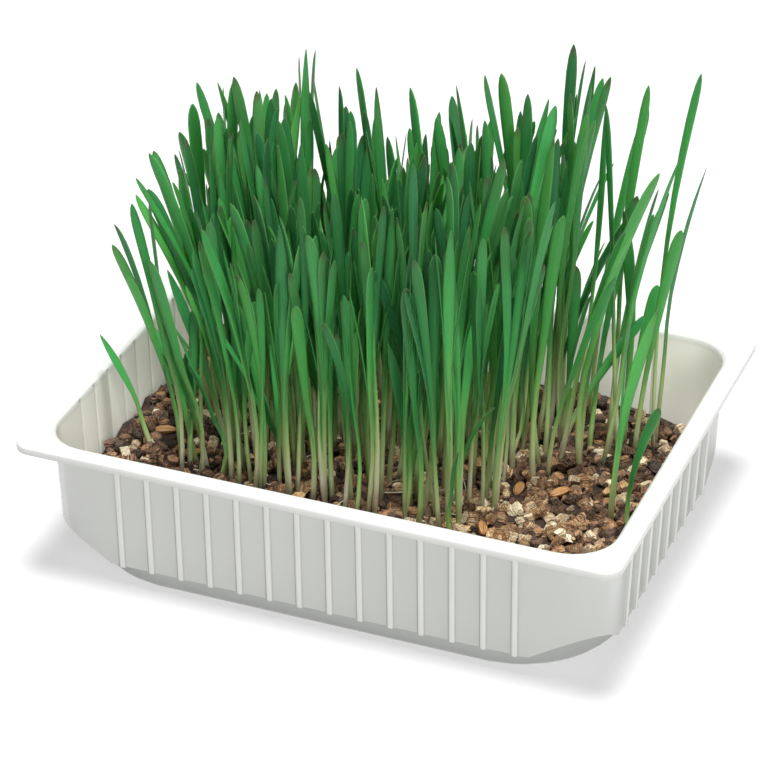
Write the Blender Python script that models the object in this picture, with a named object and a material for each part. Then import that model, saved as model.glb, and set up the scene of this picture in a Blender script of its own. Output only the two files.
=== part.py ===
"""Barley grass growing in a white seed tray.

A thin formed tray with ribbed walls holds a bed of vermiculite. The barley stands in the bed in
small tufts, each with its shoots grown together at a root crown that sits in a plain six-sided hole.
A few barley grains lie on the bed. Metres, +Z up, +X along the tray's long side, origin at the
middle of the tray's underside.
"""

import math
import random

import bmesh
import bpy
from mathutils import Matrix, Vector
from mathutils.bvhtree import BVHTree

# Tray: overall size, wall and the heights where its profile turns
TRAY_LENGTH = 0.230
TRAY_WIDTH = 0.175
TRAY_HEIGHT = 0.0575
WALL = 0.0010
PLINTH_TOP = 0.0088
LIP_DROP = 0.0032
SHOULDER_RADIUS = 0.0032
RIM_FLAT = 0.0052

# Tray: how far each ring of the profile stands in from the rim's outer edge
WALL_TOP_INSET = 0.0073
WALL_BOTTOM_INSET = 0.0088
PLINTH_INSET = 0.0122
FOOT_INSET = 0.0138
FOOT_HEIGHT = 0.0016

# Tray: corner radii. The walls' rings share one centre, so theirs is CORNER less the ring's inset.
RIM_CORNER = 0.0065
CORNER = 0.0247
PLINTH_CORNER = 0.0400
CORNER_STEPS = 6

# Tray: the foot of each corner is cut away on a slant, which starts a little before the round.
# The slope is the cut's height for each metre along one side and then the other.
CUT_BEFORE_CORNER = 0.0095
CUT_SLOPE = 0.66

# Tray: upright ribs on the walls, each with a flat crest, and finer grooves behind them
RIB_PITCH = 0.0117
RIBS_LONG_SIDE = 14
RIBS_SHORT_SIDE = 9
RIB_WIDTH = 0.0032
RIB_HEIGHT = 0.0011
CREST_SHARE = 0.44
GROOVE_WIDTH = 0.0018
GROOVE_DEPTH = 0.0006

# Growing bed: its surface is a net of cells, each corner a little off its place and level
GAP = 0.00035
BED_LEVEL = 0.0240
BED_CELL = 0.0096
BED_CELL_JITTER = 0.25
BED_ROUGHNESS = 0.0022
BED_FORM_TOP = 0.040
HOLE_TOP = 0.012

# The bed lies high along the left wall and low at the back right. A slope is where it starts and
# how far it runs.
HEAP_HEIGHT = 0.0025
HEAP_SLOPE = (0.070, 0.030)
HOLLOW_DEPTH = 0.0055
HOLLOW_SLOPE_X = (0.040, 0.045)
HOLLOW_SLOPE_Y = (0.030, 0.040)

# Sown ground: its left and right edges step outwards from the front of the tray to the back
SOWN_FRONT = -0.0400
SOWN_BACK = 0.0600
SOWN_LEFT = (-0.0730, -0.0890)
SOWN_LEFT_STEP = (-0.004, 0.016)
SOWN_RIGHT = (0.0500, 0.0860)
SOWN_RIGHT_STEP = (0.002, 0.024)

# Tufts: root crowns in a staggered grid over the sown ground
SEED = 20
CROWN_RADIUS = 0.0068
CROWN_DEPTH = 0.0085
CROWN_SIDES = 6
CROWN_PITCH = 0.0172
CROWN_JITTER = 0.0011
CROWN_COLUMNS = 6
LEAVES_A_TUFT = (6, 6, 7)
LEAVES_A_SPARSE_TUFT = (4, 4, 5)
SPARSE_FROM = 0.055

# Leaves: the shape of one, with its stations as shares of its length. Most turn their flat side
# the same way, to within the spread. Angles are in radians.
LEAF_STATIONS = (0.0, 0.42, 0.80, 0.95)
LEAF_WIDEST_AT = 0.86
STEM_ENDS_AT = 0.30
STEM_WIDTH = 0.0023
STEM_THICKNESS = 0.0016
LEAF_THICKNESS = 0.0009
LEAF_WIDTHS = (0.0036, 0.0053)
LEAF_FACING = 0.38
LEAF_FACING_SPREAD = 0.65
LEAF_TWIST = 0.5
STEER_SHARE = 0.13
TANGENT_STEP = 0.01

# Leaves: how they stand. Heights are the least, the most and the most usual.
LEAF_ROOT_DEPTH = 0.0025
ROOT_SPREAD = (0.20, 0.68)
FAN_STEP = 2.4
FAN_JITTER = 0.4
FAN_REACH = 0.006
LEAN_X = 0.17
LEAN_Y = 0.10
LEAF_STRAY = 0.007
LEAF_SWAY = 0.004
LEAF_HEIGHTS = (0.088, 0.143, 0.130)
YOUNG_HEIGHTS = (0.045, 0.105, 0.085)
YOUNG_SHARE = 0.30
LEAF_TRIES = 60
LEAF_CLEARANCE = 0.0004
BED_CLEARANCE = 0.001

# The canopy rises to the right and falls towards the left edge and the front
CANOPY_RISE_RIGHT = 0.9
CANOPY_FALL_LEFT = 1.3
CANOPY_LEFT = 0.055
CANOPY_FALL_FRONT = 4.0
CANOPY_FRONT = 0.010

# How far leaves reach, below the rim and above it
RIM_CLEAR_HEIGHT = 0.060
INSIDE_X = 0.1020
INSIDE_Y = 0.0755
REACH_LEFT = -0.0960
REACH_RIGHT = 0.1030
REACH_Y = 0.0800

# The leaves that stand out against the background: where each tip is. Each tip strays a little,
# and its leaf grows from a crown nearer the tray's middle.
TIP_STRAY_X = 0.0015
TIP_STRAY_Y = 0.006
ROOT_SHARE_X = 0.87
ROOT_SHARE_Y = 0.92
TALL_TIPS = (
    (-0.108, 0.012, 0.106),
    (-0.100, 0.022, 0.094),
    (-0.097, 0.020, 0.127),
    (-0.091, 0.030, 0.146),
    (-0.090, 0.047, 0.147),
    (-0.080, 0.047, 0.153),
    (-0.067, 0.030, 0.155),
    (-0.055, 0.046, 0.167),
    (-0.048, 0.040, 0.164),
    (-0.031, 0.022, 0.148),
    (-0.024, 0.040, 0.159),
    (-0.010, 0.045, 0.161),
    (0.007, 0.040, 0.163),
    (0.021, 0.052, 0.169),
    (0.032, 0.045, 0.164),
    (0.046, 0.052, 0.181),
    (0.060, 0.046, 0.174),
    (0.068, 0.036, 0.173),
    (0.078, 0.046, 0.175),
    (0.090, 0.030, 0.153),
    (0.094, 0.050, 0.179),
    (0.087, 0.010, 0.139),
    (0.017, -0.025, 0.166),
    (0.028, -0.026, 0.163),
    (-0.001, -0.031, 0.153),
    (0.029, -0.034, 0.136),
)

# Two shoots that stand apart from the rest, as (crown x and y, leaf tips)
OUTLIERS = (
    (-0.091, -0.027, ((-0.107, -0.030, 0.074),)),
    (0.090, -0.010, ((0.107, -0.013, 0.081), (0.097, 0.006, 0.108))),
)

# Barley grains on the bed, each near the given spot and clear of the crowns
GRAIN_LENGTH = 0.0096
GRAIN_WIDTH = 0.0040
GRAIN_HEIGHT = 0.0032
GRAIN_SINK = 0.0006
GRAIN_SIDES = 6
GRAIN_TAPER = 0.25
GRAIN_CLEARANCE = 0.0016
GRAIN_TRIES = 400
GRAIN_SEARCH_STEP = 0.0002
GRAIN_SPOTS = (
    (-0.052, 0.004),
    (-0.036, -0.008),
    (0.008, 0.008),
    (0.040, 0.000),
    (0.064, 0.004),
    (-0.072, -0.026),
)

WHITE_PLASTIC = ("tray_plastic", (0.80, 0.80, 0.76), 0.32)
VERMICULITE = ("vermiculite", (0.26, 0.15, 0.09), 0.85)
GRASS = ("barley_leaf", (0.08, 0.30, 0.08), 0.45)
GRAIN = ("barley_grain", (0.50, 0.26, 0.09), 0.55)


def clear_scene():
    for item in list(bpy.data.objects):
        bpy.data.objects.remove(item, do_unlink=True)


def make_material(name, colour, roughness):
    material = bpy.data.materials.new(name)
    material.use_nodes = True
    shader = material.node_tree.nodes["Principled BSDF"]
    shader.inputs["Base Color"].default_value = (*colour, 1.0)
    shader.inputs["Roughness"].default_value = roughness
    shader.inputs["Metallic"].default_value = 0.0
    return material


def add_object(name, mesh, material=None, collection=None):
    item = bpy.data.objects.new(name, mesh)
    (collection or bpy.context.scene.collection).objects.link(item)
    if material:
        mesh.materials.clear()
        mesh.materials.append(material)
    return item


def ramp(value, start, run):
    """0 up to `start`, 1 from `start` + `run`, and a smooth rise between them."""
    share = min(1.0, max(0.0, (value - start) / run))
    return share * share * (3 - 2 * share)


def combine(target, tool, operation):
    """Join or cut `target` by an object or a collection, and keep the result as its mesh."""
    modifier = target.modifiers.new(operation.lower(), "BOOLEAN")
    modifier.operation = operation
    modifier.solver = "MANIFOLD"
    if isinstance(tool, bpy.types.Collection):
        modifier.operand_type = "COLLECTION"
        modifier.collection = tool
    else:
        modifier.object = tool
    graph = bpy.context.evaluated_depsgraph_get()
    result = bpy.data.meshes.new_from_object(target.evaluated_get(graph))
    target.modifiers.clear()
    target.data = result


def discard(collection):
    for item in list(collection.objects):
        bpy.data.objects.remove(item, do_unlink=True)
    bpy.data.collections.remove(collection)


def working_collection(name):
    collection = bpy.data.collections.new(name)
    bpy.context.scene.collection.children.link(collection)
    return collection


# Tray

def side_stations(straight, rib_count, rib_height, rib_width):
    """Points along one straight side, as (along, outward, how far past the cut's start)."""
    profile = ((-0.5, 0.0), (-CREST_SHARE / 2, rib_height), (CREST_SHARE / 2, rib_height), (0.5, 0.0))
    stations = [(-straight, 0.0, CUT_BEFORE_CORNER), (CUT_BEFORE_CORNER - straight, 0.0, 0.0)]
    for rib in range(rib_count):
        middle = (rib - (rib_count - 1) / 2) * RIB_PITCH
        for across, out in profile:
            stations.append((middle + across * rib_width, out, 0.0))
    return stations + [(straight - CUT_BEFORE_CORNER, 0.0, 0.0), (straight, 0.0, CUT_BEFORE_CORNER)]


def tray_ring(inset, height, radius=None, rib_height=0.0, rib_width=RIB_WIDTH, cut_slope=0.0):
    """A rounded rectangle round the tray. Every ring has the same number of points."""
    radius = radius or CORNER - inset
    points = []
    for side in range(4):
        turn = Matrix.Rotation(side * math.pi / 2, 3, "Z")
        lengthwise = side % 2 == 0
        reach = (TRAY_WIDTH if lengthwise else TRAY_LENGTH) / 2 - inset
        straight = (TRAY_LENGTH if lengthwise else TRAY_WIDTH) / 2 - inset - radius
        ribs = RIBS_LONG_SIDE if lengthwise else RIBS_SHORT_SIDE
        for along, out, past in side_stations(straight, ribs, rib_height, rib_width):
            points.append(turn @ Vector((along, -reach - out, height + cut_slope * past)))
        for step in range(1, CORNER_STEPS):
            angle = step / CORNER_STEPS * math.pi / 2
            along = radius * math.sin(angle)
            inward = radius * (1 - math.cos(angle))
            past = CUT_BEFORE_CORNER + along - inward
            points.append(turn @ Vector((straight + along, inward - reach, height + cut_slope * past)))
    return points


def plinth_ring(inset, height):
    """The plinth's outline at a height: for each point of the wall's foot, the nearest one on it."""
    radius = PLINTH_CORNER - (inset - PLINTH_INSET)
    core_x = TRAY_LENGTH / 2 - inset - radius
    core_y = TRAY_WIDTH / 2 - inset - radius
    points = []
    for point in tray_ring(WALL_BOTTOM_INSET, height):
        x = max(-core_x, min(core_x, point.x))
        y = max(-core_y, min(core_y, point.y))
        core = Vector((x, y, height))
        points.append(core + (point - core).normalized() * radius)
    return points


def solid_from_rings(name, rings):
    """A closed mesh through rings of equal count, closed with a face at each end.

    Each band is split from its narrower ring's point to the wider ring's next one, so that the
    tray's inside and outside, and the bed against it, run level with each other.
    """
    form = bmesh.new()
    loops = [[form.verts.new(point) for point in ring] for ring in rings]
    for lower, upper in zip(loops, loops[1:]):
        widens = upper[0].co.xy.length > lower[0].co.xy.length
        for i in range(len(lower)):
            j = (i + 1) % len(lower)
            if widens:
                form.faces.new((lower[i], lower[j], upper[j]))
                form.faces.new((lower[i], upper[j], upper[i]))
            else:
                form.faces.new((lower[i], lower[j], upper[i]))
                form.faces.new((lower[j], upper[j], upper[i]))
    form.faces.new(list(reversed(loops[0])))
    form.faces.new(loops[-1])
    bmesh.ops.recalc_face_normals(form, faces=form.faces)
    mesh = bpy.data.meshes.new(name)
    form.to_mesh(mesh)
    form.free()
    return mesh


def outer_rings():
    """The tray's outside, from the foot up to the rim's inner edge."""
    shoulder = TRAY_HEIGHT - SHOULDER_RADIUS
    under = SHOULDER_RADIUS - WALL
    bend = under * math.sqrt(0.5)
    lip = TRAY_HEIGHT - LIP_DROP
    return [
        plinth_ring(FOOT_INSET, 0.0),
        plinth_ring(PLINTH_INSET + WALL / 3, FOOT_HEIGHT),
        plinth_ring(PLINTH_INSET, PLINTH_TOP),
        tray_ring(WALL_BOTTOM_INSET, PLINTH_TOP, rib_height=RIB_HEIGHT, cut_slope=CUT_SLOPE),
        tray_ring(WALL_TOP_INSET, shoulder, rib_height=RIB_HEIGHT),
        tray_ring(RIM_FLAT + bend, shoulder + bend),
        tray_ring(RIM_FLAT, TRAY_HEIGHT - WALL),
        tray_ring(WALL, TRAY_HEIGHT - WALL, RIM_CORNER - WALL),
        tray_ring(WALL, lip, RIM_CORNER - WALL),
        tray_ring(0.0, lip, RIM_CORNER),
        tray_ring(0.0, TRAY_HEIGHT - WALL / 2, RIM_CORNER),
        tray_ring(WALL / 2, TRAY_HEIGHT, RIM_CORNER - WALL / 2),
        tray_ring(RIM_FLAT, TRAY_HEIGHT),
    ]


def shoulder_rings():
    """The round turn from the rim down into the wall, inside."""
    rings = []
    for degrees in (30, 60):
        angle = math.radians(degrees)
        inset = RIM_FLAT + SHOULDER_RADIUS * math.sin(angle)
        height = TRAY_HEIGHT - SHOULDER_RADIUS * (1 - math.cos(angle))
        rings.append(tray_ring(inset, height))
    return rings


def inner_rings(gap=0.0, groove_depth=0.0):
    """The tray's inside from the wall's top down to the floor, or a form that clears it by `gap`."""
    clear = WALL + gap
    plinth_ledge = PLINTH_TOP + clear
    groove = {"rib_height": groove_depth, "rib_width": GROOVE_WIDTH}
    return [
        tray_ring(RIM_FLAT + SHOULDER_RADIUS + gap, TRAY_HEIGHT - SHOULDER_RADIUS, **groove),
        tray_ring(WALL_BOTTOM_INSET + clear, plinth_ledge, cut_slope=CUT_SLOPE, **groove),
        plinth_ring(PLINTH_INSET + clear, plinth_ledge),
        plinth_ring(PLINTH_INSET + clear + WALL / 3, FOOT_HEIGHT + WALL / 2 + gap),
        plinth_ring(FOOT_INSET + clear, clear),
    ]


def build_tray(material):
    rings = outer_rings() + shoulder_rings() + inner_rings(groove_depth=GROOVE_DEPTH)
    mesh = solid_from_rings("tray", rings)
    tray = add_object("tray", mesh, material)
    mesh.shade_smooth()
    mesh.set_sharp_from_angle(angle=math.radians(30))
    return tray


# Growing bed

def ground(x, y):
    """The bed's height without its roughness."""
    heap = HEAP_HEIGHT * ramp(-x, *HEAP_SLOPE)
    hollow = HOLLOW_DEPTH * ramp(x, *HOLLOW_SLOPE_X) * ramp(y, *HOLLOW_SLOPE_Y)
    return BED_LEVEL + heap - hollow


def build_bed_form():
    """The space in the tray that the bed fills, closed off above the bed's surface."""
    rings = inner_rings(GAP)
    cut = []
    for high, low in zip(rings[0], rings[1]):
        cut.append(low.lerp(high, (BED_FORM_TOP - low.z) / (high.z - low.z)))
    return add_object("vermiculite_bed", solid_from_rings("bed", [cut] + rings[1:]))


def build_relief(rng, collection):
    """A block whose rough top is the bed's surface."""
    columns = math.ceil(TRAY_LENGTH / BED_CELL)
    rows = math.ceil(TRAY_WIDTH / BED_CELL)
    block = bmesh.new()
    grid = []
    for row in range(rows + 1):
        line = []
        for column in range(columns + 1):
            x = (column - columns / 2 + rng.uniform(-1, 1) * BED_CELL_JITTER) * BED_CELL
            y = (row - rows / 2 + rng.uniform(-1, 1) * BED_CELL_JITTER) * BED_CELL
            z = ground(x, y) + rng.uniform(-1, 1) * BED_ROUGHNESS
            line.append(block.verts.new((x, y, z)))
        grid.append(line)
    top = []
    for near, far in zip(grid, grid[1:]):
        for column in range(columns):
            corners = (near[column], near[column + 1], far[column + 1], far[column])
            top.append(block.faces.new(corners[:3]))
            top.append(block.faces.new((corners[0], corners[2], corners[3])))
    underside = bmesh.ops.extrude_face_region(block, geom=top)
    for item in underside["geom"]:
        if isinstance(item, bmesh.types.BMVert):
            item.co.z = -BED_LEVEL
    bmesh.ops.recalc_face_normals(block, faces=block.faces)
    mesh = bpy.data.meshes.new("relief")
    block.to_mesh(mesh)
    block.free()
    return add_object("relief", mesh, collection=collection)


def build_bed(crowns, grains, material):
    bed = build_bed_form()
    tools = working_collection("bed_tools")
    relief = build_relief(random.Random(SEED), tools)
    combine(bed, relief, "INTERSECT")
    bpy.data.objects.remove(relief, do_unlink=True)
    for crown in crowns:
        hole = crown_mesh(crown, CROWN_RADIUS + GAP, HOLE_TOP, CROWN_DEPTH + GAP)
        add_object("hole", hole, collection=tools)
    for grain in grains:
        add_object("dimple", grain_mesh(grain, 2 * GAP), collection=tools)
    combine(bed, tools, "DIFFERENCE")
    discard(tools)
    bed.data.materials.clear()
    bed.data.materials.append(material)
    return bed


# Tufts

def is_sown(x, y):
    """The ground that the barley covers: bare at the front right and in the front left corner."""
    left = SOWN_LEFT[0] + (SOWN_LEFT[1] - SOWN_LEFT[0]) * ramp(y, *SOWN_LEFT_STEP)
    right = SOWN_RIGHT[0] + (SOWN_RIGHT[1] - SOWN_RIGHT[0]) * ramp(y, *SOWN_RIGHT_STEP)
    return left < x < right and SOWN_FRONT < y < SOWN_BACK


def plan_crowns(rng):
    """Crowns as (x, y): a staggered grid with a little jitter, and the two that stand apart."""
    crowns = []
    rows = round((SOWN_BACK - SOWN_FRONT) / CROWN_PITCH)
    row_pitch = (SOWN_BACK - SOWN_FRONT) / rows
    for row in range(rows):
        for column in range(-CROWN_COLUMNS, CROWN_COLUMNS + 1):
            x = (column + 0.5 * (row % 2)) * CROWN_PITCH + rng.uniform(-1, 1) * CROWN_JITTER
            y = SOWN_FRONT + (row + 0.5) * row_pitch + rng.uniform(-1, 1) * CROWN_JITTER
            if is_sown(x, y):
                crowns.append((x, y))
    return crowns + [(x, y) for x, y, _ in OUTLIERS]


def crown_mesh(crown, radius, above, below):
    """An upright prism round a crown, from `below` to `above` the ground there."""
    x, y = crown
    rings = []
    for height in (-below, above):
        ring = []
        for side in range(CROWN_SIDES):
            angle = 2 * math.pi * (side + 0.5) / CROWN_SIDES
            out = Vector((math.cos(angle), math.sin(angle), 0.0)) * radius
            ring.append(Vector((x, y, ground(x, y) + height)) + out)
        rings.append(ring)
    return solid_from_rings("crown", rings)


def leaf_width(leaf, t):
    if t > LEAF_WIDEST_AT:
        past = (t - LEAF_WIDEST_AT) / (1 - LEAF_WIDEST_AT)
        return leaf["width"] * math.sqrt(max(0.0, 1 - past * past))
    opened = ramp(t, STEM_ENDS_AT, LEAF_WIDEST_AT - STEM_ENDS_AT)
    return STEM_WIDTH + (leaf["width"] - STEM_WIDTH) * opened


def leaf_thickness(t):
    return STEM_THICKNESS + (LEAF_THICKNESS - STEM_THICKNESS) * ramp(t, 0.0, LEAF_WIDEST_AT)


def leaf_centre(leaf, t):
    """A leaf leaves its crown nearly upright and leans more towards its tip."""
    root, tip = leaf["root"], leaf["tip"]
    steer = root.lerp(tip, STEER_SHARE)
    steer.z = (root.z + tip.z) / 2
    steer += leaf["bow"]
    return root * (1 - t) ** 2 + steer * 2 * t * (1 - t) + tip * t * t


def leaf_section(leaf, t, extra):
    """The three corners of a leaf's keeled section, `extra` larger all round.

    The stem, below the first station, keeps one section, so that its sides are flat.
    """
    centre = leaf_centre(leaf, t)
    shape_at = max(t, LEAF_STATIONS[1])
    before = leaf_centre(leaf, shape_at - TANGENT_STEP)
    along = (leaf_centre(leaf, shape_at + TANGENT_STEP) - before).normalized()
    angle = leaf["face"] + leaf["twist"] * shape_at
    side = Vector((math.cos(angle), math.sin(angle), 0.0))
    side = (side - along * side.dot(along)).normalized()
    normal = along.cross(side)
    half = leaf_width(leaf, shape_at) / 2 + extra
    thickness = leaf_thickness(shape_at) + 2 * extra
    front = centre + normal * thickness / 3
    return [front - side * half, centre - normal * thickness * 2 / 3, front + side * half]


def leaf_faces(leaf, extra=0.0):
    """Corner points and faces of one closed leaf."""
    points = []
    for t in LEAF_STATIONS:
        points += leaf_section(leaf, t, extra)
    points.append(leaf_centre(leaf, 1.0))
    faces = [(2, 1, 0)]
    for ring in range(len(LEAF_STATIONS) - 1):
        for i in range(3):
            j = (i + 1) % 3
            a, b = 3 * ring + i, 3 * ring + j
            faces.append((a, b, b + 3))
            faces.append((a, b + 3, a + 3))
    last = len(points) - 4
    for i in range(3):
        faces.append((last + i, last + (i + 1) % 3, len(points) - 1))
    return points, faces


def leaf_tree(leaf, extra=0.0):
    return BVHTree.FromPolygons(*leaf_faces(leaf, extra))


def fits_inside(leaf):
    """True if the leaf clears the tray's wall and stays within the tray's outline."""
    for t in LEAF_STATIONS:
        for point in leaf_section(leaf, t, 0.0):
            low = point.z < RIM_CLEAR_HEIGHT
            if abs(point.y) > (INSIDE_Y if low else REACH_Y):
                return False
            if low and abs(point.x) > INSIDE_X:
                return False
            if not leaf["standout"] and not REACH_LEFT < point.x < REACH_RIGHT:
                return False
    return True


def leaves_bed_cleanly(leaf):
    """True if the leaf is above the rough bed before it leans out of its crown's hole."""
    top = ground(*leaf["crown"]) + BED_ROUGHNESS + BED_CLEARANCE
    low = leaf_section(leaf, LEAF_STATIONS[0], 0.0)
    high = leaf_section(leaf, LEAF_STATIONS[1], 0.0)
    for start, end in zip(low, high):
        at_top = start.lerp(end, (top - start.z) / (end.z - start.z))
        if (at_top.xy - leaf["crown"]).length > CROWN_RADIUS * math.cos(math.pi / CROWN_SIDES):
            return False
    return True


def is_clear(leaf, trees):
    """True if a leaf clears the bed, the tray, and the leaves and grains in `trees`."""
    if not (leaves_bed_cleanly(leaf) and fits_inside(leaf)):
        return False
    wide = leaf_tree(leaf, LEAF_CLEARANCE)
    return not any(wide.overlap(tree) for tree in trees)


def stray(rng, x, y):
    """A level step by at most `x` and `y`."""
    return Vector((rng.uniform(-x, x), rng.uniform(-y, y), 0.0))


def draw_height(rng, x, y):
    """A leaf's height, by where its crown stands. Some leaves are young and short."""
    heights = YOUNG_HEIGHTS if rng.random() < YOUNG_SHARE else LEAF_HEIGHTS
    rise = CANOPY_RISE_RIGHT * max(0.0, x)
    fall = CANOPY_FALL_LEFT * max(0.0, -x - CANOPY_LEFT)
    fall += CANOPY_FALL_FRONT * max(0.0, -y - CANOPY_FRONT)
    return rng.triangular(*heights) * (1.0 + rise - fall)


def draw_leaf(rng, crown, around, tip=None):
    """One leaf from a crown. Without a `tip` given, it fans out and leans away from the middle."""
    x, y = crown
    around += rng.uniform(-FAN_JITTER, FAN_JITTER)
    outward = Vector((math.cos(around), math.sin(around), 0.0))
    root = Vector((x, y, ground(x, y) - LEAF_ROOT_DEPTH))
    root += outward * CROWN_RADIUS * rng.uniform(*ROOT_SPREAD)
    standout = tip is not None
    if standout:
        tip = Vector(tip) + stray(rng, TIP_STRAY_X, TIP_STRAY_Y)
    else:
        lean = Vector((LEAN_X * x, LEAN_Y * y, draw_height(rng, x, y)))
        tip = root + outward * FAN_REACH + lean
        tip += Vector((rng.gauss(0, LEAF_STRAY), rng.gauss(0, LEAF_STRAY), 0.0))
    return {
        "crown": Vector(crown),
        "standout": standout,
        "root": root,
        "tip": tip,
        "bow": stray(rng, LEAF_SWAY, LEAF_SWAY),
        "width": rng.uniform(*LEAF_WIDTHS),
        "face": rng.gauss(LEAF_FACING, LEAF_FACING_SPREAD),
        "twist": rng.gauss(0, LEAF_TWIST),
    }


def tips_of(crowns):
    """For each crown, the tips of the standout leaves that grow from it."""
    wanted = [[] for _ in crowns]
    sown = len(crowns) - len(OUTLIERS)
    for tip in TALL_TIPS:
        base = Vector((tip[0] * ROOT_SHARE_X, tip[1] * ROOT_SHARE_Y))
        near = sorted(range(sown), key=lambda i: (Vector(crowns[i]) - base).length)
        emptiest = min(near[:2], key=lambda i: len(wanted[i]))
        wanted[emptiest].append(tip)
    for place, (_, _, tips) in enumerate(OUTLIERS):
        wanted[sown + place] = list(tips)
    return wanted


def grow(rng, crown, tips, tuft, trees):
    """Add a leaf to a tuft for each tip. A leaf that would cross what is in `trees` is drawn again."""
    for tip in tips:
        around = FAN_STEP * len(tuft)
        for _ in range(LEAF_TRIES):
            leaf = draw_leaf(rng, crown, around, tip)
            if is_clear(leaf, trees):
                tuft.append(leaf)
                trees.append(leaf_tree(leaf))
                break


def plan_leaves(rng, crowns, grains):
    """Leaves for every crown: first those that stand out, then the rest of each sown tuft."""
    tufts = [[] for _ in crowns]
    trees = [grain_tree(grain) for grain in grains]
    for crown, tips, tuft in zip(crowns, tips_of(crowns), tufts):
        grow(rng, crown, tips, tuft, trees)
    for crown, tuft in zip(crowns[:-len(OUTLIERS)], tufts):
        total = rng.choice(LEAVES_A_SPARSE_TUFT if crown[0] > SPARSE_FROM else LEAVES_A_TUFT)
        grow(rng, crown, [None] * (total - len(tuft)), tuft, trees)
    return tufts


def build_tuft(name, crown, leaves, material):
    tuft = add_object(name, crown_mesh(crown, CROWN_RADIUS, 0.0, CROWN_DEPTH))
    shoots = working_collection("shoots")
    for leaf in leaves:
        points, faces = leaf_faces(leaf)
        mesh = bpy.data.meshes.new("shoot")
        mesh.from_pydata(points, [], faces)
        form = bmesh.new()
        form.from_mesh(mesh)
        bmesh.ops.recalc_face_normals(form, faces=form.faces)
        form.to_mesh(mesh)
        form.free()
        add_object("shoot", mesh, collection=shoots)
    combine(tuft, shoots, "UNION")
    discard(shoots)
    tuft.data.materials.clear()
    tuft.data.materials.append(material)
    return tuft


# Grains

def plan_grains(rng, crowns):
    """A place and heading for each grain near its spot, clear of the crowns' holes."""
    clear = CROWN_RADIUS + GRAIN_WIDTH / 2 + GRAIN_CLEARANCE
    grains = []
    for spot in GRAIN_SPOTS:
        for attempt in range(GRAIN_TRIES):
            spread = GRAIN_SEARCH_STEP * attempt
            middle = (Vector((*spot, 0.0)) + stray(rng, spread, spread)).xy
            heading = rng.uniform(0, math.pi)
            reach = Vector((math.cos(heading), math.sin(heading))) * (GRAIN_LENGTH - GRAIN_WIDTH) / 2
            samples = (middle - reach, middle, middle + reach)
            crowded = any((Vector(crown) - sample).length < clear for crown in crowns for sample in samples)
            heaped = any((Vector(other[:2]) - middle).length < GRAIN_LENGTH + GAP for other in grains)
            if not crowded and not heaped:
                grains.append((*middle, heading))
                break
    return grains


def grain_mesh(grain, extra=0.0):
    """A plump barley grain, pointed at both ends, half sunk in the bed."""
    x, y, heading = grain
    form = bmesh.new()
    bmesh.ops.create_uvsphere(form, u_segments=GRAIN_SIDES, v_segments=GRAIN_SIDES, radius=1.0)
    for vert in form.verts:
        taper = 1.0 - GRAIN_TAPER * abs(vert.co.z)
        vert.co.x *= (GRAIN_HEIGHT / 2 + extra) * taper
        vert.co.y *= (GRAIN_WIDTH / 2 + extra) * taper
        vert.co.z *= GRAIN_LENGTH / 2 + extra
    lay = Matrix.Rotation(math.pi / 2, 4, "Y")
    turn = Matrix.Rotation(heading, 4, "Z")
    place = Matrix.Translation((x, y, ground(x, y) + GRAIN_HEIGHT / 2 - GRAIN_SINK))
    bmesh.ops.transform(form, matrix=place @ turn @ lay, verts=form.verts)
    mesh = bpy.data.meshes.new("grain")
    form.to_mesh(mesh)
    form.free()
    return mesh


def grain_tree(grain):
    form = bmesh.new()
    form.from_mesh(grain_mesh(grain, GAP))
    tree = BVHTree.FromBMesh(form)
    form.free()
    return tree


def build_grain(name, grain, material):
    mesh = grain_mesh(grain)
    mesh.shade_smooth()
    return add_object(name, mesh, material)


clear_scene()
plastic = make_material(*WHITE_PLASTIC)
brown = make_material(*VERMICULITE)
green = make_material(*GRASS)
husk = make_material(*GRAIN)

draws = random.Random(SEED)
crown_plan = plan_crowns(draws)
grain_plan = plan_grains(draws, crown_plan)
leaf_plan = plan_leaves(draws, crown_plan, grain_plan)

build_tray(plastic)
build_bed(crown_plan, grain_plan, brown)
for number, (spot, shoots) in enumerate(zip(crown_plan, leaf_plan), start=1):
    build_tuft(f"barley_tuft_{number:02d}", spot, shoots, green)
for number, spot in enumerate(grain_plan, start=1):
    build_grain(f"barley_grain_{number}", spot, husk)
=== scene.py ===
"""Young barley in a white seed tray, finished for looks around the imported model.

The sections follow the way the real thing is put together: the formed tray, the vermiculite it is
filled with, the grains, the shoots and their roots, and then the studio. Metres, +Z up.
"""

import math
import random

import bmesh
import bpy
import numpy as np
from mathutils import Matrix, Vector
from mathutils.bvhtree import BVHTree


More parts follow.
